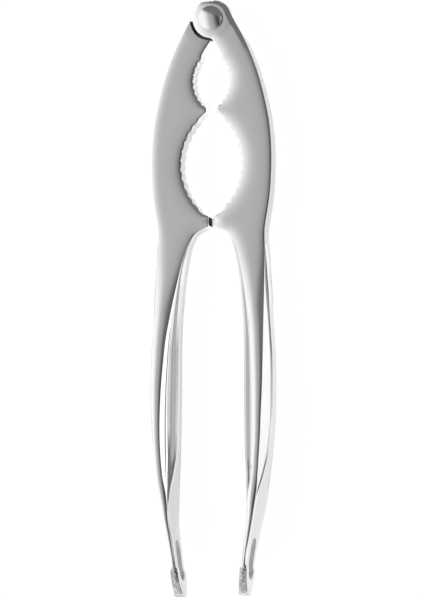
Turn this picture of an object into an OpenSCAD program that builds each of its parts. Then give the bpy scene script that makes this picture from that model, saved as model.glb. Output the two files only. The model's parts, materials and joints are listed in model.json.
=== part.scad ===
// Nutcracker with two toothed nut hollows: two cast levers on one riveted pivot.
// It lies on its back: +X to the right lever, +Y to the pivot end, +Z up out of the front face.
// Both levers are one casting, and the second is the first one turned over.

/* [Levers] */
// Pivot centre to the tip of a handle
lever_len = 174; // [150:1:200]
// Thickness of the jaws across the half-lap hinge
jaw_t = 6; // [5:0.5:8]
// Largest front-to-back depth of a handle
handle_depth = 15.8; // [12:0.2:20]
// Centre line to the outside of a handle at its widest
handle_reach = 19; // [17:0.5:22]
// Centre line to the outside of a jaw at its widest
jaw_reach = 18.7; // [17:0.1:20]

/* [Hinge] */
// Radius of the round lugs
lug_r = 6; // [5.5:0.1:6.5]
// Gap between a lug and the shoulder that it turns in
shoulder_gap = 0.75; // [0.5:0.05:1]
// Gap between the two lugs, face to face
lap_gap = 0.3; // [0.2:0.05:0.5]

/* [Rivet] */
// Diameter of the rivet's shank
rivet_d = 4; // [3:0.1:5]
// Radial clearance of the shank in the front lug
rivet_fit = 0.05; // [0.02:0.01:0.1]
// Radius of both heads
head_r = 3.65; // [3.2:0.05:4.2]
// Height of the front head
head_h = 2; // [1.5:0.1:2.5]
// Height of the rear head
rear_head_h = 1.6; // [1.2:0.1:2]
// Gap below the front head, where the front lug turns
head_gap = 0.1; // [0.05:0.05:0.3]

/* [Nut hollows] */
// Arc radius of the small hollow
small_r = 10.8; // [10:0.1:11.5]
// Centre line to the bottom of the small hollow
small_reach = 5.9; // [5.5:0.1:7]
// Pivot centre to the middle of the small hollow
small_at = 18.9; // [18.3:0.1:19.5]
// Arc radius of the large hollow
large_r = 19.6; // [18.5:0.1:20.5]
// Centre line to the bottom of the large hollow
large_reach = 9.6; // [9:0.1:10.5]
// Pivot centre to the middle of the large hollow
large_at = 44.2; // [43.5:0.1:45]
// Height of the teeth
tooth_h = 0.38; // [0.2:0.02:0.5]
// Teeth in each side of the small hollow
small_teeth = 10; // [6:1:10]
// Teeth in each side of the large hollow
large_teeth = 11; // [6:1:12]

/* [Stop] */
// Gap between the two stops as the levers stand
stop_gap = 1.4; // [1.2:0.05:1.7]
// Pivot centre to the top of the stop
stop_top = 59.5; // [59:0.1:60.5]
// Length of the stop's flat face
stop_len = 3.3; // [2.5:0.1:4]

/* [Handles] */
// How far the raised land on the outside of a handle stands out
land_h = 0.3; // [0.2:0.05:0.4]
// Length of the hanging slot
slot_len = 12; // [10:0.5:13]
// Width of the hanging slot
slot_w = 4.8; // [4:0.1:5.4]
// Tip of the handle to the middle of the hanging slot
slot_from_tip = 11.2; // [10.5:0.1:12]
// Length over which the tip is rounded
tip_round = 8.5; // [6:0.5:9.5]

/* [Hidden] */
$fn = 96;
eps = 0.01;

half_t = jaw_t / 2;
half_depth = handle_depth / 2;
stop_half = stop_gap / 2;
stop_end = stop_top + stop_len;
shoulder_r = lug_r + shoulder_gap;
bore_r = rivet_d / 2 + rivet_fit;
lug_t = half_t - lap_gap / 2;
pivot_y = (lever_len - lug_r) / 2;
handle_start = 66.5;
handle_len = lever_len - handle_start;
small_pitch = 10.6;
large_pitch = 8.2;
stop_corner = 0.5;
neck_at = 9;
chrome = "#c4c6c8";

// Catmull-Rom curve through a list of points, with n steps from one to the next
function blend(a, b, c, d, t) =
    ((3 * b - a - 3 * c + d) * t ^ 3 + (2 * a - 5 * b + 4 * c - d) * t ^ 2 + (c - a) * t + 2 * b) / 2;
function curve(p, n) = [
    for (i = [0:len(p) - 2], k = [0:n - 1])
        blend(p[max(i - 1, 0)], p[i], p[i + 1], p[min(i + 2, len(p) - 1)], k / n),
    p[len(p) - 1]
];

// Outside of a jaw: share of the jaw's reach against the distance below the pivot
jaw_side = [
    [0.297, -2.6], [0.37, 0], [0.535, 6.2], [0.677, 12.2], [0.791, 18.3], [0.877, 24.3], [0.945, 30.3],
    [0.985, 36.4], [1, 43.5], [0.984, 51.5], [0.946, 57.5], [0.89, 63.5], [0.866, 67.5]
];

// Throat below the stop, inside the handle's root: share of the handle's reach against the distance
// below the end of the stop
throat_side = [[0.189, 1.3], [0.274, 2.4], [0.345, 4.7]];

// One row per station of a handle. The first value is the share of the handle's length, the next four
// are shares of its reach (flange inside, ridge inside, ridge outside, flange outside), and the last
// two are the ridge's rise towards the full depth and the flange's share of the ridge's height.
stations = [
    [0.000, 0.335, 0.357, 0.832, 0.852, 0.000, 0.97],
    [0.028, 0.368, 0.405, 0.860, 0.882, 0.010, 0.92],
    [0.057, 0.400, 0.453, 0.868, 0.898, 0.030, 0.83],
    [0.113, 0.453, 0.526, 0.874, 0.916, 0.120, 0.72],
    [0.169, 0.484, 0.589, 0.879, 0.940, 0.270, 0.60],
    [0.225, 0.511, 0.642, 0.884, 0.953, 0.450, 0.50],
    [0.281, 0.524, 0.689, 0.889, 0.974, 0.610, 0.43],
    [0.338, 0.527, 0.716, 0.893, 0.994, 0.755, 0.39],
    [0.420, 0.527, 0.745, 0.893, 1.000, 0.910, 0.35],
    [0.500, 0.531, 0.758, 0.879, 0.993, 0.990, 0.33],
    [0.562, 0.537, 0.757, 0.867, 0.968, 1.000, 0.33],
    [0.618, 0.553, 0.742, 0.846, 0.929, 0.975, 0.40],
    [0.674, 0.589, 0.716, 0.820, 0.868, 0.920, 0.60],
    [0.730, 0.618, 0.679, 0.784, 0.804, 0.835, 0.80],
    [0.786, 0.622, 0.642, 0.726, 0.746, 0.695, 0.92],
    [0.842, 0.580, 0.600, 0.664, 0.684, 0.570, 0.93],
    [0.898, 0.536, 0.556, 0.610, 0.630, 0.490, 0.93],
    [0.944, 0.500, 0.520, 0.584, 0.604, 0.470, 0.93],
    [1.000, 0.457, 0.477, 0.557, 0.577, 0.460, 0.93]
];

// Rounding of the tip, seen from the side: 1 along the handle, falling to a fifth at the very end
function tip_share(y) = y < lever_len - tip_round ? 1
    : sqrt(1 - 0.96 * ((y - lever_len + tip_round) / tip_round) ^ 2);

// Half the depth of the ridge, and of the flange, at one station
function ridge_half(s) =
    (half_t + max(s[5], 0) * (half_depth - half_t)) * tip_share(handle_start + s[0] * handle_len);
function flange_half(s) = ridge_half(s) * s[6];

// Part of a handle: what a front outline, between two columns of the stations, and a side outline share
module rib(inside, outside, halves) {
    rows = curve(stations, 3);
    last = len(rows) - 1;
    y = [for (s = rows) -handle_start - s[0] * handle_len];
    intersection() {
        linear_extrude(height = 2 * handle_depth, center = true)
            polygon([
                for (i = [0:last]) [rows[i][outside] * handle_reach, y[i]],
                for (i = [last:-1:0]) [rows[i][inside] * handle_reach, y[i]]
            ]);
        rotate([90, 0, 90])
            linear_extrude(height = handle_reach + 1)
                polygon([
                    for (i = [0:last]) [y[i], halves[i]],
                    for (i = [last:-1:0]) [y[i], -halves[i]]
                ]);
    }
}

// Handle: a narrow deep ridge that stands on both faces of a wider flange
module handle() {
    rows = curve(stations, 3);
    rib(2, 3, [for (s = rows) ridge_half(s)]);
    rib(1, 4, [for (s = rows) flange_half(s)]);
}

// Toothed disc that cuts one nut hollow
module hollow(r, reach, at, teeth, pitch) {
    chord = 2 * r * sin(pitch / 2);
    tooth_r = (chord ^ 2 / 4 + tooth_h ^ 2) / (2 * tooth_h);
    translate([reach - r, -at])
        difference() {
            circle(r);
            for (i = [0:teeth - 1])
                rotate((i - (teeth - 1) / 2) * pitch)
                    translate([r + tooth_r - tooth_h, 0])
                        circle(tooth_r);
        }
}

// Flat outline of the jaw, from the hinge to the root of the handle
module jaw_outline() {
    side = [for (p = curve(jaw_side, 4)) [p[0] * jaw_reach, -p[1]]];
    throat = curve([
        [stop_half + stop_corner, -stop_end],
        for (p = throat_side) [p[0] * handle_reach, -stop_end - p[1]]
    ], 4);
    difference() {
        polygon([
            [0, lug_r], each side, each [for (i = [len(throat) - 1:-1:0]) throat[i]],
            [stop_half, stop_corner - stop_end], [stop_half, -neck_at],
            [0.4 * stop_half, -shoulder_r], [-0.1, -lug_r + eps]
        ]);
        hollow(small_r, small_reach, small_at, small_teeth, small_pitch);
        hollow(large_r, large_reach, large_at, large_teeth, large_pitch);
    }
}

// Raised land on the outside of the handle's root
module land() {
    rows = [for (s = curve(stations, 4)) if (s[0] > 0.022 && s[0] < 0.222) s];
    outside = [for (s = rows) [s[4] * handle_reach, -handle_start - s[0] * handle_len]];
    linear_extrude(height = jaw_t * 0.6, center = true)
        polygon([
            for (p = outside) [p[0] + land_h, p[1]],
            for (i = [len(outside) - 1:-1:0]) [outside[i][0] - 1, outside[i][1]]
        ]);
}

// Hanging slot through the strap at the tip, from side to side
module hanging_slot() {
    spread = (slot_len - slot_w) / 2;
    translate([handle_reach / 2, slot_from_tip - lever_len, 0])
        rotate([0, 90, 0]) {
            for (end = [-1, 1])
                translate([0, end * spread, 0])
                    cylinder(d = slot_w, h = handle_reach, center = true);
            cube([slot_w, 2 * spread, handle_reach], center = true);
        }
}

// One lever, standing to the right of the pivot, with its lug in front and a hole of radius r in it
module lever(r) {
    difference() {
        union() {
            difference() {
                translate([0, 0, -half_t])
                    linear_extrude(height = jaw_t)
                        jaw_outline();
                translate([0, 0, -half_t - eps])
                    cylinder(r = shoulder_r, h = half_t + lap_gap / 2 + eps);
                // The lug's own half of the hinge keeps clear of the other lever's shoulder
                translate([-lug_r, -lug_r * 2, -half_t - eps])
                    cube([lug_r, lug_r * 4, jaw_t + 2 * eps]);
            }
            translate([0, 0, lap_gap / 2])
                cylinder(r = lug_r, h = lug_t);
            handle();
            land();
        }
        translate([0, 0, -eps])
            cylinder(r = r, h = half_t + 2 * eps);
        hanging_slot();
    }
}

// Places a piece that is drawn about the pivot
module at_pivot() {
    translate([0, pivot_y, half_depth])
        children();
}

// Lever whose lug lies in front
module right_arm() {
    color(chrome)
        at_pivot()
            lever(bore_r);
}

// The same casting turned over, so that its lug lies behind
module left_arm() {
    color(chrome)
        at_pivot()
            rotate([0, 180, 0])
                lever(rivet_d / 2);
}

// Domed cap of a sphere, with its flat side at z = 0
module dome(r, h) {
    ball = (r ^ 2 + h ^ 2) / (2 * h);
    intersection() {
        translate([0, 0, h - ball])
            sphere(ball);
        cylinder(r = r, h = h + eps);
    }
}

// Domed front head and the shank that both levers hang on
module pivot_rivet() {
    color(chrome)
        at_pivot() {
            translate([0, 0, half_t + head_gap])
                dome(head_r, head_h);
            translate([0, 0, -half_t])
                cylinder(d = rivet_d, h = jaw_t + head_gap + eps);
        }
}

// Head that is formed on the far end of the shank
module rivet_rear_head() {
    color(chrome)
        at_pivot()
            translate([0, 0, -half_t])
                rotate([180, 0, 0])
                    dome(head_r, rear_head_h);
}

left_arm();
right_arm();
pivot_rivet();
rivet_rear_head();
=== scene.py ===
import json
import math

import bmesh
import bpy
import numpy as np
from mathutils import Matrix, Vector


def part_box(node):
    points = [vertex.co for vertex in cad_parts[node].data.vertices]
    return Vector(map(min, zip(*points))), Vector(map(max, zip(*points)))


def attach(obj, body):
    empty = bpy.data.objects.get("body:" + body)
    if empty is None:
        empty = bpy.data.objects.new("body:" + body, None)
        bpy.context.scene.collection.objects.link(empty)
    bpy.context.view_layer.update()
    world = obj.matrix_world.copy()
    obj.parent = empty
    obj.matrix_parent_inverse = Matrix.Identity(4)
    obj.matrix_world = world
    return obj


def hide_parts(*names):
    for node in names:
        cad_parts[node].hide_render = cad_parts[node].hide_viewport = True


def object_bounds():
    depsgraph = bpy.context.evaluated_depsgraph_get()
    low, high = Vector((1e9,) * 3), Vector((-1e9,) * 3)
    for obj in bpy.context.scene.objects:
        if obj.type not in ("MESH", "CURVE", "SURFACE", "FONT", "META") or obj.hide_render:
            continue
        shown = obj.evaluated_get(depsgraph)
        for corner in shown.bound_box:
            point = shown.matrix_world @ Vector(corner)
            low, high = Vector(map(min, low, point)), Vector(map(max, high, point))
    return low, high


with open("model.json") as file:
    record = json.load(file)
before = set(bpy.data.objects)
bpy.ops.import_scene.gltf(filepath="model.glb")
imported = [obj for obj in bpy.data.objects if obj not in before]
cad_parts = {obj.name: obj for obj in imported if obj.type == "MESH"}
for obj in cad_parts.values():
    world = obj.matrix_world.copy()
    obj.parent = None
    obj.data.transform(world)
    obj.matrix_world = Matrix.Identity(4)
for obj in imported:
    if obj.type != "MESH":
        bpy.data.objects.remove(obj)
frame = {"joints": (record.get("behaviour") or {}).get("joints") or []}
cad_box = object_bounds()
scene = bpy.context.scene


# ---------------------------------------------------------------------------------------------
# Studio
# The tool lies on a white table under a broad soft ceiling that is bright on its left and falls
# off to a dark wall on its right, which is what gives bright plating its shape.
# ---------------------------------------------------------------------------------------------

def linear(hex_colour):
    """sRGB hex to a linear RGBA colour."""
    parts = [int(hex_colour[i:i + 2], 16) / 255 for i in (1, 3, 5)]
    return (*[p / 12.92 if p <= 0.04045 else ((p + 0.055) / 1.055) ** 2.4 for p in parts], 1.0)


def add_node(tree, kind, settings=(), inputs=(), links=()):
    """A node with its settings, its input values and its incoming links, each input: socket."""
    node = tree.nodes.new(kind)
    for name, value in dict(settings).items():
        setattr(node, name, value)
    for name, value in dict(inputs).items():
        node.inputs[name].default_value = value
    for name, socket in dict(links).items():
        tree.links.new(socket, node.inputs[name])
    return node


def grey_ramp(tree, fac, stops, smooth):
    """A ramp of plain greys, from (position, level) stops, read at a value."""
    node = add_node(tree, "ShaderNodeValToRGB", (), (), {"Fac": fac})
    ramp = node.color_ramp
    ramp.interpolation = "B_SPLINE" if smooth else "LINEAR"
    first, last = ramp.elements
    first.position, last.position = stops[0][0], stops[-1][0]
    for position, _ in stops[1:-1]:
        ramp.elements.new(position)
    for element, (_, level) in zip(ramp.elements, stops):
        element.color = (level, level, level, 1.0)
    return node.outputs["Color"]


def studio_world():
    """White for the camera, and a left-bright, right-dark ceiling for all that mirrors it. Its
    level follows how far to the right a ray goes, with a little of how far up the table, and
    beyond the pivot the room is an even dark grey."""
    rightward, beyond_pivot = (0.90, 0.16, 0.0), (0.30, 0.94, 0.0)
    ceiling_levels = [
        (0.00, 1.0), (0.09, 1.0), (0.13, 1.0), (0.205, 0.97), (0.285, 0.74), (0.35, 0.50),
        (0.40, 0.425), (0.48, 0.39), (0.52, 0.34), (0.555, 0.27), (0.595, 0.165), (0.64, 0.085),
        (0.69, 0.04), (0.745, 0.05), (0.80, 0.22), (0.84, 0.65), (0.875, 0.95), (1.0, 1.0)]
    ceiling_strength, dark_grey = 1.1, (0.155, 0.155, 0.155, 1.0)
    fill = 0.5  # what the room gives to matt surfaces

    world = bpy.data.worlds.new("studio")
    world.use_nodes = True
    tree = world.node_tree
    tree.nodes.clear()
    out = add_node(tree, "ShaderNodeOutputWorld")
    path = add_node(tree, "ShaderNodeLightPath")
    where = add_node(tree, "ShaderNodeTexCoord")
    side = add_node(tree, "ShaderNodeVectorMath", {"operation": "DOT_PRODUCT"}, {1: rightward},
                    {0: where.outputs["Generated"]})
    spread = add_node(tree, "ShaderNodeMapRange", (), {"From Min": -1.0, "From Max": 1.0},
                      {"Value": side.outputs["Value"]})
    ceiling = grey_ramp(tree, spread.outputs["Result"], ceiling_levels, True)
    ahead = add_node(tree, "ShaderNodeVectorMath", {"operation": "DOT_PRODUCT"},
                     {1: beyond_pivot}, {0: where.outputs["Generated"]})
    far = add_node(tree, "ShaderNodeMapRange", {"interpolation_type": "SMOOTHSTEP"},
                   {"From Min": 0.26, "From Max": 0.50}, {"Value": ahead.outputs["Value"]})
    dim = add_node(tree, "ShaderNodeMix", {"data_type": "RGBA"}, {"B": dark_grey},
                   {"A": ceiling, "Factor": far.outputs["Result"]})
    mirrored = add_node(tree, "ShaderNodeBackground", (), {"Strength": ceiling_strength},
                        {"Color": dim.outputs["Result"]})
    sky = add_node(tree, "ShaderNodeMapRange", (), {"To Min": fill, "To Max": 1.0},
                   {"Value": path.outputs["Is Camera Ray"]})
    plain = add_node(tree, "ShaderNodeBackground", (), {"Color": (1.0, 1.0, 1.0, 1.0)},
                     {"Strength": sky.outputs["Result"]})
    mix = add_node(tree, "ShaderNodeMixShader", (), (),
                   {"Fac": path.outputs["Is Glossy Ray"], 1: plain.outputs[0],
                    2: mirrored.outputs[0]})
    tree.links.new(mix.outputs[0], out.inputs["Surface"])
    return world


scene.world = studio_world()
scene.view_settings.view_transform = "Standard"


def table_top():
    """A flat sheet of matt white laminate under the tool, which to the eye is evenly white. In
    the plating it shows a painted shade round the tool, set by where on the sheet a ray lands. It
    glows by 0.92 for the eye and by that painted shade for mirrors, and its tone is 0.56, less
    0.40 for the eye."""
    half = 3.0
    eye_glow, tone, eye_cut = 0.92, 0.56, 0.40
    # Painted shade levels at x in mm, darker round each arm, beside the jaws and beside the handles
    jaw_painted_shade = [(-14.5, 0.8), (-12.5, 0.5), (-4, 0.5), (-0.5, 0.8), (9, 0.8), (11, 0.5),
                 (22, 0.5), (27, 0.8)]
    handle_painted_shade = [(-30, 0.8), (-24, 0.5), (-4, 0.5), (-1, 0.8), (9, 0.8), (11, 0.6),
                    (22, 0.6), (27, 0.72)]
    shade_reach = 40  # mm to each side of the middle
    jaws_from = {"From Min": 0.012, "From Max": 0.022}
    # Past the tips the painted shade halves the table's level in the plating
    past_tips_painted_shade = {"From Min": -0.094, "From Max": -0.086, "To Min": 0.5, "To Max": 1.0}

    mesh = bpy.data.meshes.new("table_top")
    mesh.from_pydata([(-half, -half, 0), (half, -half, 0), (half, half, 0), (-half, half, 0)],
                     [], [(0, 1, 2, 3)])
    table = bpy.data.objects.new("table_top", mesh)
    scene.collection.objects.link(table)
    material = bpy.data.materials.new("matt_white_laminate")
    material.use_nodes = True
    tree = material.node_tree
    tree.nodes.clear()
    out = add_node(tree, "ShaderNodeOutputMaterial")
    path = add_node(tree, "ShaderNodeLightPath")
    place = add_node(tree, "ShaderNodeNewGeometry")
    axes = add_node(tree, "ShaderNodeSeparateXYZ", (), (), {0: place.outputs["Position"]})
    across = add_node(tree, "ShaderNodeMapRange", (),
                      {"From Min": -shade_reach / 1000, "From Max": shade_reach / 1000},
                      {"Value": axes.outputs["X"]})
    by_jaws, by_handles = (
        grey_ramp(tree, across.outputs["Result"],
                  [((x + shade_reach) / (2 * shade_reach), level) for x, level in stops], False)
        for stops in (jaw_painted_shade, handle_painted_shade))
    upper = add_node(tree, "ShaderNodeMapRange", (), jaws_from, {"Value": axes.outputs["Y"]})
    shade = add_node(tree, "ShaderNodeMix", {"data_type": "RGBA"}, (),
                     {"Factor": upper.outputs["Result"], "A": by_handles, "B": by_jaws})
    beyond = add_node(tree, "ShaderNodeMapRange", (), past_tips_painted_shade, {"Value": axes.outputs["Y"]})
    level = add_node(tree, "ShaderNodeMath", {"operation": "MULTIPLY"}, (),
                     {0: shade.outputs["Result"], 1: beyond.outputs["Result"]})
    mirrored = add_node(tree, "ShaderNodeMath", {"operation": "MULTIPLY"}, (),
                        {0: path.outputs["Is Glossy Ray"], 1: level.outputs[0]})
    seen = add_node(tree, "ShaderNodeMath", {"operation": "MULTIPLY"}, {1: eye_glow},
                    {0: path.outputs["Is Camera Ray"]})
    strength = add_node(tree, "ShaderNodeMath", {"operation": "ADD"}, (),
                        {0: seen.outputs[0], 1: mirrored.outputs[0]})
    glow = add_node(tree, "ShaderNodeEmission", (), {"Color": (1.0, 1.0, 1.0, 1.0)},
                    {"Strength": strength.outputs[0]})
    less = add_node(tree, "ShaderNodeMath", {"operation": "MULTIPLY"}, {1: eye_cut},
                    {0: path.outputs["Is Camera Ray"]})
    left = add_node(tree, "ShaderNodeMath", {"operation": "SUBTRACT"}, {0: tone},
                    {1: less.outputs[0]})
    matt = add_node(tree, "ShaderNodeBsdfDiffuse", (), (), {"Color": left.outputs[0]})
    both = add_node(tree, "ShaderNodeAddShader", (), (),
                    {0: glow.outputs[0], 1: matt.outputs[0]})
    tree.links.new(both.outputs[0], out.inputs["Surface"])
    mesh.materials.append(material)


table_top()


def softbox():
    """One broad soft lamp to the upper left. The ceiling above already holds its reflection."""
    lamp = bpy.data.lights.new("softbox", "AREA")
    lamp.shape = "SQUARE"
    lamp.size = 0.9
    lamp.energy = 7.0
    holder = bpy.data.objects.new("softbox", lamp)
    scene.collection.objects.link(holder)
    holder.location = (-0.85, -0.15, 0.75)
    holder.rotation_euler = (0.13, -0.85, 0.0)
    holder.visible_glossy = False
    holder.visible_camera = False


softbox()


def aim_camera(azimuth, elevation, roll, distance, height, shift):
    """A long lens above the tool, azimuth degrees to its right and elevation degrees to the tips,
    that takes in a given height at its distance. The shift moves it across its own view."""
    low, high = (np.array(corner) for corner in cad_box)
    sensor = 24.0
    a, e, r = math.radians(azimuth), math.radians(elevation), math.radians(roll)
    away = np.array([math.sin(a) * math.cos(e), -math.sin(e), math.cos(a) * math.cos(e)])
    up = np.array([math.sin(a) * math.sin(e), math.cos(e), math.cos(a) * math.sin(e)])
    right = np.cross(up, away)
    right, up = right * math.cos(r) + up * math.sin(r), up * math.cos(r) - right * math.sin(r)
    camera = bpy.data.cameras.new("camera")
    camera.sensor_fit = "VERTICAL"
    camera.sensor_height = sensor
    camera.lens = sensor * distance / height
    camera.clip_end = 20.0
    holder = bpy.data.objects.new("camera", camera)
    scene.collection.objects.link(holder)
    place = (low + high) / 2 + away * distance + right * shift[0] + up * shift[1]
    turned = np.eye(4)
    turned[:3] = np.column_stack([right, up, away, place])
    holder.matrix_world = Matrix(turned.tolist())
    scene.camera = holder


aim_camera(azimuth=14.8, elevation=7.3, roll=0.1, distance=2.2, height=0.1795,
           shift=(-0.00033, -0.00095))


# ---------------------------------------------------------------------------------------------
# Levers
# Two copies of one zinc die casting, polished and then nickel-chrome plated. One is turned over,
# so that their half-thick lugs meet face to face at the rivet. Sizes are in mm about the pivot.
# ---------------------------------------------------------------------------------------------

MM = 0.001
pivot = np.array(frame["joints"][0]["pos_m"])
arm_low, arm_high = (np.array(corner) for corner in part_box("right_arm"))
lever_len = (pivot[1] - arm_low[1]) / MM
lug_r = (arm_high[1] - pivot[1]) / MM
reach = arm_high[0] / MM
half_depth = (arm_high[2] - arm_low[2]) / 2 / MM
half_t = 3.0
lap_gap = 0.3
shoulder_r = lug_r + 0.75
stop_half = 0.65
stop_y = -61.4
tip_round = 8.5
handle_start = 66.5
handle_len = lever_len - handle_start
small_hollow = {"centre": (-4.9, -18.95), "r": 10.8, "teeth": 10, "pitch": 10.6}
large_hollow = {"centre": (-10.0, -44.2), "r": 19.6, "teeth": 11, "pitch": 8.2}
tooth_h = 0.38
tooth_ease = 0.4  # share of a tooth's height by which its rim widens
edge_step = 0.04  # between the points that an edge is worked out at

# The handle at stations along it: the share of the handle's length, then shares of the reach
# (flange inside, ridge inside, ridge outside, flange outside), the ridge's rise towards the full
# depth, and the flange's share of the ridge's height.
stations = np.array([
    [0.000, 0.335, 0.357, 0.832, 0.852, 0.000, 0.97],
    [0.028, 0.368, 0.405, 0.860, 0.882, 0.010, 0.92],
    [0.057, 0.400, 0.453, 0.868, 0.898, 0.030, 0.83],
    [0.113, 0.453, 0.526, 0.874, 0.916, 0.120, 0.72],
    [0.169, 0.484, 0.589, 0.879, 0.940, 0.270, 0.60],
    [0.225, 0.511, 0.642, 0.884, 0.953, 0.450, 0.50],
    [0.281, 0.524, 0.689, 0.889, 0.974, 0.610, 0.43],
    [0.338, 0.527, 0.716, 0.893, 0.994, 0.755, 0.39],
    [0.420, 0.527, 0.745, 0.893, 1.000, 0.910, 0.35],
    [0.500, 0.531, 0.758, 0.879, 0.993, 0.990, 0.33],
    [0.562, 0.537, 0.757, 0.867, 0.968, 1.000, 0.33],
    [0.618, 0.553, 0.742, 0.846, 0.929, 0.975, 0.40],
    [0.674, 0.589, 0.716, 0.820, 0.868, 0.920, 0.60],
    [0.730, 0.618, 0.679, 0.784, 0.804, 0.835, 0.80],
    [0.786, 0.622, 0.642, 0.726, 0.746, 0.695, 0.92],
    [0.842, 0.580, 0.600, 0.664, 0.684, 0.570, 0.93],
    [0.898, 0.536, 0.556, 0.610, 0.630, 0.490, 0.93],
    [0.944, 0.500, 0.520, 0.584, 0.604, 0.470, 0.93],
    [1.000, 0.457, 0.477, 0.557, 0.577, 0.460, 0.93],
])

# Outside of the jaw: x and y of points from the lug to the root of the handle
jaw_side = np.array([
    (5.52, 2.3), (6.5, 0), (9.95, -6.2), (12.66, -12.2), (14.8, -18.3), (16.4, -24.3),
    (17.67, -30.3), (18.42, -36.4), (18.7, -43.5), (18.4, -51.5), (17.7, -57.5), (16.65, -63.5),
    (16.19, -66.5),
])

# Parts of the inside: the neck below the lug, the stop, and the throat that leads to the handle
neck_points = [(0.34, -shoulder_r), (1.2, -8.0), (2.0, -9.2), (2.8, -10.6)]
stop_points = [(1.3, -59.75), (stop_half, -60.0), (stop_half, -62.9)]
throat_points = np.array([
    (1.5, -63.35), (3.6, -64.3), (5.1, -65.3), (6.1, -67.0), (reach * 0.362, -69.0)])


def through(points, n):
    """Catmull-Rom curve through points, n steps to each span: cubic blends of four neighbours."""
    p = np.vstack([points[:1], points, points[-1:]])
    a, b, c, d = p[:-3, None], p[1:-2, None], p[2:-1, None], p[3:, None]
    t = (np.arange(n) / n)[None, :, None]
    curve = ((3 * b - a - 3 * c + d) * t ** 3 + (2 * a - 5 * b + 4 * c - d) * t ** 2
             + (c - a) * t + 2 * b) / 2
    return np.vstack([curve.reshape(-1, points.shape[1]), points[-1:]])


def arc(centre, r, start, stop):
    """Points on a circle from one angle to another, in degrees."""
    n = max(int(abs(math.radians(stop - start)) * r / edge_step), 2)
    a = np.radians(np.linspace(start, stop, n))
    return np.column_stack([centre[0] + r * np.cos(a), centre[1] + r * np.sin(a)])


def evenly(points):
    """The same path with its points edge_step apart along it."""
    run = np.concatenate([[0], np.cumsum(np.hypot(*np.diff(points, axis=0).T))])
    s = np.linspace(0, run[-1], int(run[-1] / edge_step) + 1)
    return np.column_stack([np.interp(s, run, points[:, i]) for i in (0, 1)])


def softened(values, width):
    """Running mean with a bell-shaped weight, width samples wide, that keeps both ends."""
    n = int(3 * width)
    weight = np.exp(-0.5 * (np.arange(-n, n + 1) / width) ** 2)
    weight /= weight.sum()
    before, after = values[:1], values[-1:]
    padded = np.concatenate([2 * before - values[n:0:-1], values, 2 * after - values[-2:-n - 2:-1]])
    if values.ndim == 1:
        return np.convolve(padded, weight, "valid")
    return np.column_stack([np.convolve(column, weight, "valid") for column in padded.T])


def softened_twice(path, usual, special, near):
    """A path softened over one length, and over another where near is 1, both in mm."""
    return ((1 - near) * softened(path, usual / edge_step)
            + near * softened(path, special / edge_step))


def inward(path, side):
    """Unit normals of a path, turned to its left for side 1 and to its right for side -1."""
    t = np.gradient(path, axis=0)
    t /= np.hypot(t[:, 0], t[:, 1])[:, None]
    return side * np.column_stack([-t[:, 1], t[:, 0]])


def smooth_step(x, start, stop):
    """0 before start, 1 after stop, and an S between them."""
    t = np.clip((x - start) / (stop - start), 0, 1)
    return t * t * (3 - 2 * t)


def toothing(path, hollow):
    """Height of the scalloped teeth at each point: parabolas side by side along the hollow's arc."""
    dx, dy = (path - np.array(hollow["centre"])).T
    near = np.abs(np.hypot(dx, dy) - hollow["r"]) < 0.25
    turn = np.degrees(np.arctan2(dy, dx)) / hollow["pitch"] + hollow["teeth"] / 2
    along = turn % 1
    inside = near & (turn > 0) & (turn < hollow["teeth"]) & (path[:, 0] > 0)
    return np.where(inside, tooth_h * (1 - (2 * along - 1) ** 2), 0)


rail = through(stations, 12)
rail_y = np.maximum(-handle_start - rail[:, 0] * handle_len, 0.36 - lever_len)


def inner_edge():
    """The inner edge from the top of the lug to the tip, its normals into the metal, its teeth,
    and the nose, where the circles of the hollows cross: (r0^2 - r1^2 + d^2) / 2d along the line
    between their centres and then square to it."""
    c0, r0 = np.array(small_hollow["centre"]), small_hollow["r"]
    c1, r1 = np.array(large_hollow["centre"]), large_hollow["r"]
    apart = np.hypot(*(c1 - c0))
    u = (c1 - c0) / apart
    a = (r0 ** 2 - r1 ** 2 + apart ** 2) / (2 * apart)
    nose = c0 + a * u + math.sqrt(r0 ** 2 - a ** 2) * np.array([-u[1], u[0]])
    turn0, turn1 = (math.degrees(math.atan2(nose[1] - c[1], nose[0] - c[0])) for c in (c0, c1))
    handle = rail_y < -70
    path = evenly(np.vstack([
        arc((0, 0), lug_r, 90, 268), neck_points, arc(c0, r0, 40, turn0),
        arc(c1, r1, turn1, -50), stop_points, through(throat_points, 8),
        np.column_stack([rail[handle, 1] * reach, rail_y[handle]])]))
    near_nose = np.exp(-((path[:, 1:] - nose[1]) / 1.3) ** 2)
    path = softened_twice(path, 0.36, 0.8, near_nose)
    teeth = toothing(path, small_hollow) + toothing(path, large_hollow)
    return path, inward(path, 1), teeth, nose


def outer_edge():
    """The outer edge from the top of the lug to the tip and its normals into the metal."""
    path = evenly(np.vstack([
        arc((0, 0), lug_r, 90, 28), through(jaw_side, 10),
        np.column_stack([rail[:, 4] * reach, rail_y])[6:]]))
    near_root = np.exp(-((path[:, 1:] + 67) / 6) ** 2)
    path = softened_twice(path, 0.5, 3.0, near_root)
    return path, inward(path, -1)


def row_places(y):
    """Where the rows of the casting start on its inner edge, close together at the top of the lug
    (y above 5), on the teeth and the stop (-6 to -64) and on the tip (below -163)."""
    spacing = 0.5 + 0.25 * smooth_step(-y, 66, 80)
    spacing = np.where((y < -6) & (y > -64), 0.16, spacing)
    spacing = np.where(y > 5.0, 0.12, spacing)
    spacing = np.where(y < -163, 0.2, spacing)
    run = np.cumsum(1 / softened(spacing, 20))
    count = int(run[-1] * 0.95 * edge_step)
    return np.interp(np.linspace(run[0], run[-1], count), run, np.arange(len(run)))


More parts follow.
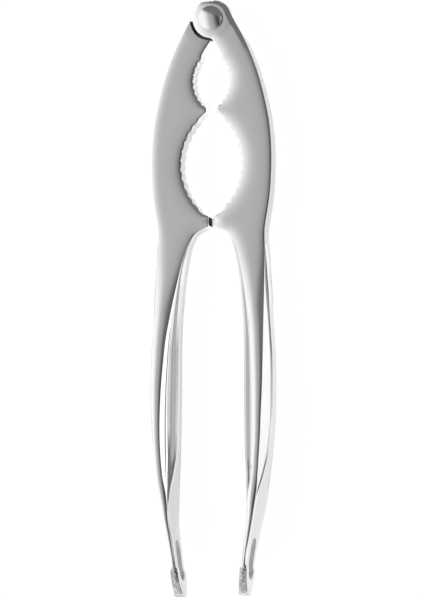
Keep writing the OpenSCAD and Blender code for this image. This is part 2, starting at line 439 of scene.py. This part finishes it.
def soft_distance(points, paths):
    """Distance to the nearest of several paths, eased where two of them are as near: the sum of
    their inverse cubes, to the power of minus a third."""
    total = 0
    for path in paths:
        gap = np.concatenate([
            np.sqrt(((part[..., None, :] - path) ** 2).sum(axis=-1).min(axis=-1))
            for part in np.array_split(points, 12)])
        total = total + np.maximum(gap, 0.02) ** -3
    return total ** (-1 / 3)


def fall(d, wide, deep, near, edge):
    """How far a face has fallen at a distance from its edge: a wide crown and a narrow roll."""
    return deep * np.clip(1 - d / wide, 0, 1) ** 3 + edge * np.clip(1 - d / near, 0, 1) ** 2


def bevelled(d):
    """Fall of the lug's bevel at a distance from its edge: 38 degrees, and 19 where it starts."""
    return 0.78 * np.clip(0.95 - d, 0, 1) + 0.35 * np.clip(1.4 - d, 0, 0.45)


def col(values):
    """Values of the rows as a column."""
    return values[:, None]


def pocket(room, ledge, flank, most, bead):
    """The side of the ridge from the rim of the casting: a flat floor, a steep slope with a small
    fillet at its foot, a narrow bead half way up it and a rounded brow, as distances from the rim
    and heights. The slope's run is 0.38 of its height, or most of the room if that is less."""
    run = np.minimum(0.38 * flank, most * room)
    foot = room - run
    bend = np.minimum(0.18, 0.5 * foot)
    t = np.array([[0, 0.02, 0.15, 0.4, 0.7, 1]])
    floor_x, floor_z = col(foot - bend) * t, col(ledge) + 0 * t
    into = np.array([[-0.8, -0.6, -0.4, -0.2, 0, 0.2, 0.4, 0.7, 1]])
    rise = np.array([[0.08, 0.2, 0.34, 0.405, 0.415, 0.43, 0.475, 0.52, 0.535, 0.545, 0.61, 0.8,
                      0.9, 0.95, 0.98]])
    slope_x = np.hstack([col(foot) + col(bend) * into * 0.8, col(foot) + col(run) * rise])
    step = (slope_x - col(foot)) / np.maximum(col(run), 1e-6)
    soft = 0.3 * col(bend) / np.maximum(col(run), 1e-6)
    curve = (np.sqrt(step ** 2 + soft ** 2) + step) / (np.sqrt(1 + soft ** 2) + 1)
    stepped = np.interp(step, [0, 0.415, 0.535, 1], [0, 0.46, 0.477, 1])
    curve = curve + col(bead) * (stepped - step) * (step > 0.05)
    order = np.argsort(slope_x, axis=1)
    slope_x, curve = np.take_along_axis(slope_x, order, 1), np.take_along_axis(curve, order, 1)
    slope_z = col(ledge) + col(flank) * np.clip(curve, 0, 1)
    return np.hstack([floor_x, slope_x]), np.hstack([floor_z, slope_z])


def tube_faces(rings, n):
    """Quads from each ring of n points to the next, with its last point joined to its first."""
    start = np.arange(rings - 1)[:, None] * n
    i, j = start + np.arange(n), start + (np.arange(n) + 1) % n
    return np.stack([i, j, j + n, i + n], axis=2).reshape(-1, 4)


def casting():
    """Vertices and faces of one lever, its lug still full thickness. Rows run from the top of the
    lug to the tip. Each is a closed section from the inner edge, over the front, to the outer
    edge and back behind."""
    inner, inner_in, teeth, nose = inner_edge()
    outer, outer_in = outer_edge()

    # Both ends of each row on the two edges, p, and the normals there, n
    at = row_places(inner[:, 1])

    def picked(values):
        """Values of the inner edge at the rows."""
        columns = [np.interp(at, np.arange(len(values)), c) for c in np.atleast_2d(values.T)]
        return columns[0] if values.ndim == 1 else np.column_stack(columns)

    p_in, n_in, tooth = picked(inner), picked(inner_in), picked(teeth)
    level = np.minimum.accumulate(softened(p_in[:, 1], 7))
    level = np.clip(level, outer[-1, 1], outer[0, 1])
    level[0], level[-1] = outer[0, 1], outer[-1, 1]
    p_in = p_in - n_in * col(tooth)
    p_out = np.column_stack([np.interp(-level, -outer[:, 1], outer[:, 0]), level])
    n_out = np.column_stack([np.interp(-level, -outer[:, 1], outer_in[:, i]) for i in (0, 1)])
    n_in /= np.hypot(*n_in.T)[:, None]
    n_out /= np.hypot(*n_out.T)[:, None]
    p_out[0], n_out[0] = p_in[0], n_in[0] = (0, lug_r), (0, -1)

    # Heights and widths along the casting
    down = -level
    share = np.clip((down - handle_start) / handle_len, 0, 1)
    flange_inside, ridge_inside, ridge_outside, flange_outside, ridge_rise, flange_share = (
        np.interp(share, rail[:, 0], rail[:, i]) for i in range(1, 7))
    end = np.clip((down - lever_len + tip_round) / tip_round, 0, 1)
    end_share = np.sqrt(1 - 0.96 * end ** 2)
    ridge = (half_t + np.clip(ridge_rise, 0, 1) * (half_depth - half_t)) * end_share
    apex_round = 0.4
    from_apex = np.clip((lug_r - level) / apex_round, 0, 1.0)
    ridge = ridge - apex_round + apex_round * np.sqrt(1 - (1 - from_apex) ** 2)
    is_handle = smooth_step(down, 66, 76)
    is_strap = smooth_step(down, 138, 150)
    is_stop = smooth_step(down, 59.8, 60.4) * (1 - smooth_step(down, 62.4, 63))
    thick = np.hypot(*(p_out - p_in).T)

    # The end of the tip is a thicker, rougher knob
    knob = smooth_step(down, 164.8, 166.4)
    knob_proud = 0.3
    p_in = p_in - n_in * knob_proud * col(knob)
    p_out = p_out - n_out * knob_proud * col(knob)

    # Radius of the rims, and the points q where the rims end and the face begins
    r_in = 0.12 + 0.7 * is_handle - 0.45 * is_strap
    r_in = r_in + 0.25 * is_stop
    r_out = 0.07 + 0.3 * is_handle - 0.05 * is_strap
    r_in[1:], r_out[1:] = np.minimum(r_in, 0.46 * thick)[1:], np.minimum(r_out, 0.46 * thick)[1:]
    q_in = p_in + n_in * col(r_in + tooth_ease * tooth)
    q_out = p_out + n_out * col(r_out)
    q_in[:, 1] = np.minimum.accumulate(q_in[:, 1])
    q_out[:, 1] = np.minimum.accumulate(q_out[:, 1])
    width = np.hypot(*(q_out - q_in).T)
    across = (q_out - q_in) / np.maximum(col(width), 1e-9)

    # The ridge between its two pockets: how far it stands in from each rim, and its crown
    has_ridge = smooth_step(down, 64, 76) * (1 - is_strap)
    ridge_in = np.clip((ridge_inside - flange_inside) * reach - r_in, 0, None) * has_ridge
    ridge_out = np.clip((flange_outside - ridge_outside) * reach - r_out, 0, None) * has_ridge
    crest = np.maximum(width - ridge_out - ridge_in, 0.01)
    round_crown = smooth_step(down, 62, 92)
    bow_rise = (0.095 + 0.07 * is_strap) * crest * (1 - 0.8 * knob)
    has_bead = smooth_step(down, 84, 96) * (1 - smooth_step(down, 134, 142))
    v = (1 - np.cos(np.linspace(0, math.pi, 45))) / 2
    along = col(ridge_in) + col(crest) * v
    points = q_in[:, None] + across[:, None] * along[..., None]

    # Distances of those points from the edges of the jaw, above y -100
    is_jaw = inner[::2, 1] > -100
    smooth_edge = inner[::2][is_jaw]
    toothed_edge = (inner - inner_in * 0.6 * col(teeth))[::2][is_jaw]
    y = smooth_edge[:, 1]
    parts = [y > nose[1], (y < nose[1]) & (y > -61.2), y < -61.2]
    from_in = soft_distance(points, [smooth_edge[part] for part in parts])
    from_teeth = soft_distance(points, [toothed_edge[part] for part in parts])
    from_out = soft_distance(points, [outer[::2][outer[::2, 1] > -100]])
    lug = col(1 - smooth_step(down, -2, 9))
    by_stop = (col(np.exp(-((down - 61.2) / 2.5) ** 2))
               * np.clip(1 - (points[..., 0] - stop_half) / 4, 0, 1) ** 2)
    # The lug has a broad bevel along its top and its outer side
    top_in = col(1 - smooth_step(down, -5.6, -4.2))
    top_out = col(1 - smooth_step(down, -1, 11))
    bevel = np.maximum(top_out * bevelled(from_out), top_in * bevelled(from_in))

    def crowned(inside, outside, top_bevel, lean):
        """Height of a face over the ridge: falls from both edges over the jaw, each given as the
        crown's width and depth, and a bow over the handle."""
        crown = (top_bevel * bevel + lean * by_stop
                 + fall(from_in, inside[0], inside[1] * (1 - lug), 1, 0)
                 + fall(from_teeth, 1, 0, 0.5, 0.1 - 0.05 * lug)
                 + fall(from_out, outside[0], outside[1] * (1 - lug), 0.5, 0.1))
        return (col(ridge) - col(1 - round_crown) * crown
                - col(round_crown * bow_rise) * (2 * v - 1) ** 2)

    # Rims from the walls to the face, which they meet at its own slope
    meets = 90 - 26 * (1 - is_handle) - 33 * is_strap * (1 - knob)
    quarter = np.radians(np.linspace(0, 90, 11)[:-1])[None]

    def rounded(p, n, r, z, extra, bevel):
        """The rim from a wall to the face, r deep and r plus extra wide: round, or bevelled as
        far as bevel says."""
        t = (1 - np.cos(2 * quarter)) / 2
        turned = quarter * col(meets) / 90
        whole = 1 - np.cos(np.radians(col(meets)))
        lift = np.sin(np.radians(col(meets)))
        is_round = 1 - col(bevel)
        out = col(r + extra) * (is_round * (1 - np.cos(turned)) / whole + col(bevel) * t)
        up = col(z) - col(r) * (is_round * (lift - np.sin(turned)) / whole + col(bevel) * (1 - t))
        return np.concatenate([p[:, None] + n[:, None] * out[..., None], up[..., None]], axis=2)

    def wall(p, z):
        """One line of points down a wall, at a height."""
        return np.concatenate([p, p[:, :1] * 0 + z], axis=1)[:, None]

    # A land 0.3 mm proud on the outside of the handle's root
    land = 0.3 * (smooth_step(down, 68.2, 68.8) - smooth_step(down, 85, 90))
    p_land = p_out - n_out * col(land)
    land_z = 0.3 * 2 * half_t

    def ledge_under(end):
        """Height of the flange beside the ridge. The strap has none and stays at its own rim."""
        ledge = np.minimum(flange_share * ridge, ridge - end)
        return ledge + (ridge - end - ledge) * is_strap

    def face(crown, knob_edge):
        """One face of the section, from the middle of the inner wall to the middle of the outer.
        The rough knob slopes away from one of its edges."""
        end_in, end_out = ridge - crown[:, 0], ridge - crown[:, -1]
        ledge_in, ledge_out = ledge_under(end_in), ledge_under(end_out)
        floor_in = pocket(ridge_in, ledge_in, ridge - end_in - ledge_in, 0.75, has_bead)
        floor_out = pocket(ridge_out, ledge_out, ridge - end_out - ledge_out, 0.92, 0 * ridge)
        reach_in = np.hstack([floor_in[0], along, (col(width) - floor_out[0])[:, ::-1]])
        height = np.hstack([floor_in[1], crown, floor_out[1][:, ::-1]])
        surface = np.concatenate(
            [q_in[:, None] + across[:, None] * reach_in[..., None], height[..., None]], axis=2)
        rim_in = rounded(p_in, n_in, r_in, ledge_in, tooth_ease * tooth,
                         0.8 * is_handle * (1 - is_strap))
        rim_out = rounded(p_out, n_out, r_out, ledge_out, 0 * tooth,
                          0.9 * is_handle * (1 - is_strap))
        front = np.concatenate([
            wall(p_in, 0), rim_in, surface, rim_out[:, ::-1], wall(p_out, land_z + 0.2),
            wall(p_land, land_z - 0.25), wall(p_land, 0)], axis=1)
        # The lug is turned slightly convex: its face drops away from the rivet
        x, y, z = np.moveaxis(front, 2, 0)
        rho = np.hypot(x, y)
        drop = 0.62 * (np.clip(rho - 2.6, 0, 4) / 3.4) ** 1.8 * (1 - smooth_step(-y, 0, 16))
        drop *= 0.4 + 0.6 * smooth_step(-x / np.maximum(rho, 1), -0.5, 0.6)
        z -= drop * np.clip(z / half_t, 0, 1)
        # The knob keeps the ripples of the mould
        swirl = np.sin(1.9 * y + 1.4 * x) + 0.8 * np.sin(2.3 * x + 0.6)
        ripple = (np.sin(3.4 * y + 1.8 * swirl)
                  + 0.7 * np.sin(2.1 * x - 2.6 * y + 1.1 * swirl + 2))
        sag = 0.04 * (ripple + 1.7) + 0.13 * np.abs(x - knob_edge[:, :1])
        z -= sag * col(knob) * np.clip(z / 2, 0, 1)
        return front

    front = face(crowned((6.1, 0.46), (5.0, 0.44), 1.0, 0.35), p_in)
    back = face(crowned((5.6, 0.50), (3.6, 0.28), 0.0, 0.0), p_out)[:, -2:0:-1]
    back = back * np.array([1, 1, -1])
    # The back rolls down to the shoulder that the other lever's lug swings in
    from_shoulder = np.clip(1 - (np.hypot(back[..., 0], back[..., 1]) - shoulder_r) / 3.0, 0, 1)
    back[..., 2] += 0.2 * from_shoulder ** 2 * np.clip(-back[..., 2] / half_t, 0, 1)
    ring = np.concatenate([front, back], axis=1)

    # The tip closes in three quick steps
    last = ring[-1]
    centre = last.mean(axis=0)
    caps = [centre + (last - centre) * (s, 1, s) - (0, e, 0)
            for s, e in ((0.9, 0.1), (0.65, 0.2), (0.0, 0.24))]
    ring = np.concatenate([ring, np.stack(caps)], axis=0)
    return ring.reshape(-1, 3), tube_faces(*ring.shape[:2])


def new_piece(name, verts, faces, material):
    """A mesh object at the origin from vertices in metres, with doubles merged and faces out."""
    mesh = bpy.data.meshes.new(name)
    mesh.from_pydata(np.asarray(verts).tolist(), [], np.asarray(faces).tolist())
    mesh.validate()
    mesh.materials.append(material)
    piece = bpy.data.objects.new(name, mesh)
    scene.collection.objects.link(piece)
    work = bmesh.new()
    work.from_mesh(mesh)
    bmesh.ops.remove_doubles(work, verts=work.verts, dist=2e-6)
    bmesh.ops.recalc_face_normals(work, faces=work.faces)
    work.to_mesh(mesh)
    work.free()
    mesh.shade_smooth()
    return piece


def bright_chrome(name, colour, roughness, uneven):
    """Chrome plate over a polished casting. A 9 mm cloud varies its gloss and a 4 mm one, uneven
    micrometres deep, gives the faint waviness of hand polishing."""
    material = bpy.data.materials.new(name)
    material.use_nodes = True
    tree = material.node_tree
    shader = tree.nodes["Principled BSDF"]
    shader.inputs["Base Color"].default_value = linear(colour)
    shader.inputs["Metallic"].default_value = 1.0
    where = add_node(tree, "ShaderNodeTexCoord")
    cloud = add_node(tree, "ShaderNodeTexNoise", (), {"Scale": 1 / 0.009, "Detail": 3.0},
                     {"Vector": where.outputs["Object"]})
    gloss = add_node(tree, "ShaderNodeMapRange", (),
                     {"From Min": 0.3, "From Max": 0.7,
                      "To Min": 0.75 * roughness, "To Max": 1.25 * roughness},
                     {"Value": cloud.outputs["Fac"]})
    wave = add_node(tree, "ShaderNodeTexNoise", (), {"Scale": 1 / 0.004, "Detail": 1.0},
                    {"Vector": where.outputs["Object"]})
    bump = add_node(tree, "ShaderNodeBump", (), {"Strength": 1.0, "Distance": uneven * 1e-6},
                    {"Height": wave.outputs["Fac"]})
    tree.links.new(gloss.outputs["Result"], shader.inputs["Roughness"])
    tree.links.new(bump.outputs["Normal"], shader.inputs["Normal"])
    return material


casting_chrome = bright_chrome("bright_chrome_casting", "#f3f3f4", 0.09, 8)
# The lap's dark grey is painted shade in the gap round the lugs, on a rougher real finish.
lap_chrome_and_painted_shade = bright_chrome("dull_chrome_lap_painted_shade", "#6c6d70", 0.40, 12)
# The slot walls' slight grey is painted shade inside the hole, on a rougher real finish.
slot_chrome_and_painted_shade = bright_chrome("dull_chrome_slot_painted_shade", "#dcdcde", 0.6, 12)
# The stop's near-black is painted shade, standing in for the dark reflections between the stops.
stop_painted_shade = bright_chrome("painted_shade_stop_face", "#1f2022", 0.75, 12)


def lathe(profile, turns=192):
    """A closed solid of revolution about the pivot's axis: radius and height pairs turned round."""
    a = np.linspace(0, 2 * math.pi, turns, endpoint=False)
    r, z = np.array(profile, float).T
    verts = np.stack([np.outer(r, np.cos(a)), np.outer(r, np.sin(a)),
                      np.repeat(z[:, None], turns, axis=1)], axis=2)
    return verts.reshape(-1, 3), tube_faces(len(r), turns)


def lap_cutter():
    """Takes away half of the lug's thickness, with a 45 degree chamfer round the shoulder."""
    chamfer_z, far_z = -2.5, -4
    return lathe([(0, lap_gap / 2), (shoulder_r, lap_gap / 2), (shoulder_r, chamfer_z),
                  (shoulder_r + chamfer_z - far_z, far_z), (0, far_z)])


def slot_cutter():
    """The obround hole through the strap, 12 by 4.8 mm: rings of that outline, square to the
    strap, that flare past its faces."""
    length, broad, from_tip = 12.0, 4.8, 11.2
    outs_and_flares = [(-3.0, 2.0), (-1.0, 0.0), (1.0, 0.0), (3.0, 2.0)]
    y_mid = -(lever_len - from_tip)
    share = (-y_mid - handle_start) / handle_len
    along, inside, outside = stations[:, 0], stations[:, 1], stations[:, 4]
    x_mid = np.interp(share, along, (inside + outside) / 2) * reach
    near, far = np.interp([share - 0.05, share + 0.05], along, inside)
    slope = -(far - near) * reach / (0.1 * handle_len)
    a = np.radians(np.linspace(0, 360, 64, endpoint=False))
    rings = []
    for out, flare in outs_and_flares:
        r = broad / 2 + flare
        y = r * np.sin(a) + np.where(np.sin(a) > 0, 1, -1) * (length - broad) / 2
        rings.append(np.column_stack([x_mid + out + slope * y, y_mid + y, r * np.cos(a)]))
    ends = [np.repeat(ring.mean(axis=0)[None], len(a), axis=0) for ring in (rings[0], rings[-1])]
    rings = [ends[0], *rings, ends[1]]
    return np.vstack(rings), tube_faces(len(rings), len(a))


def cut_away(piece, verts, faces, finish_and_painted_shade):
    """Takes a closed cutter out of a piece for good. The cut faces get the cutter's material,
    which for the lap and the slot is a duller finish with painted shade.
    """
    tool = new_piece("cutter", verts, faces, finish_and_painted_shade)
    change = piece.modifiers.new("cut", "BOOLEAN")
    change.operation = "DIFFERENCE"
    change.solver = "EXACT"
    change.material_mode = "TRANSFER"
    change.object = tool
    graph = bpy.context.evaluated_depsgraph_get()
    mesh = bpy.data.meshes.new_from_object(piece.evaluated_get(graph))
    piece.modifiers.clear()
    old, piece.data = piece.data, mesh
    bpy.data.meshes.remove(old)
    bpy.data.objects.remove(tool)


def lever(name, node, turned):
    """One finished lever in its place: casting, half-lap, hanging slot and its stop, whose face is
    painted near-black as the shade between the two stops. The rivet's heads hide its bore, so it
    has none. Known faults: edges are open at the top of the lug and at the handle's root, where
    others have more than two faces, and the right lever's lap is open, with no underside to its lug
    and no wall to its shoulder. The cause of the open lap isn't known."""
    side = np.array([-1, 1, -1]) if turned else np.array([1, 1, 1])

    def placed(solid):
        """A solid's vertices in metres, on this lever's side, and its faces."""
        return solid[0] * side * MM + pivot, solid[1]

    piece = new_piece(name, *placed(casting()), casting_chrome)
    cut_away(piece, *placed(lap_cutter()), lap_chrome_and_painted_shade)
    cut_away(piece, *placed(slot_cutter()), slot_chrome_and_painted_shade)
    piece.data.materials.append(stop_painted_shade)
    x, y, z = ((np.array([p.center[:] for p in piece.data.polygons]) - pivot) / MM * side).T
    finish_and_painted_shade = np.zeros(len(x), np.int32)
    piece.data.polygons.foreach_get("material_index", finish_and_painted_shade)
    # Faces of the stop get the near-black painted shade
    painted_shade_stop_faces = (x < stop_half + 0.1) & (np.abs(y - stop_y) < 1.6) & (np.abs(z) < 2.2)
    finish_and_painted_shade[painted_shade_stop_faces] = len(piece.data.materials) - 1
    piece.data.polygons.foreach_set("material_index", finish_and_painted_shade)
    piece.data.set_sharp_from_angle(angle=math.radians(40))
    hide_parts(node)
    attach(piece, "left_lever" if turned else "right_lever")


lever("left_lever_casting", "left_arm", True)
lever("right_lever_casting", "right_arm", False)


# ---------------------------------------------------------------------------------------------
# Rivet
# A steel rivet with a high round head in front, closed over behind, and plated with the levers.
# Its shank is hidden in the lugs, so only the heads are made here.
# ---------------------------------------------------------------------------------------------

head_r = 3.65
front_rise, back_rise = 2.0, 1.6
head_gap = 0.1
rivet_chrome = bright_chrome("bright_chrome_rivet", "#f0f0f1", 0.15, 5)


def head(name, node, rise, z, up):
    """A round head on a height z, up being 1 in front and -1 behind: a spherical cap, of radius
    (r^2 + h^2) / 2h, that ends in a short rounded foot."""
    collar, corner = 0.5 * rise, 0.05 * rise
    dome, inner_r = rise - collar, head_r - corner
    ball = (inner_r ** 2 + dome ** 2) / (2 * dome)
    lean = math.asin(inner_r / ball)
    a = np.linspace(0, lean, 32)
    b = np.linspace(lean, math.pi / 2, 8)[1:]
    profile = np.vstack([
        np.column_stack([ball * np.sin(a), rise - ball + ball * np.cos(a)]),
        np.column_stack([
            inner_r + corner * (np.sin(b) - math.sin(lean)) / (1 - math.sin(lean)),
            collar - corner * (math.cos(lean) - np.cos(b))]),
        [(head_r, 0.0), (0.0, 0.0)],
    ])
    profile[:, 1] = z + up * profile[:, 1]
    verts, faces = lathe(profile)
    piece = new_piece(name, verts * MM + pivot, faces, rivet_chrome)
    piece.data.set_sharp_from_angle(angle=math.radians(40))
    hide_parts(node)
    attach(piece, "left_lever")


head("rivet_front_head", "pivot_rivet", front_rise, half_t + head_gap, 1)
head("rivet_back_head", "rivet_rear_head", back_rise, -half_t, -1)
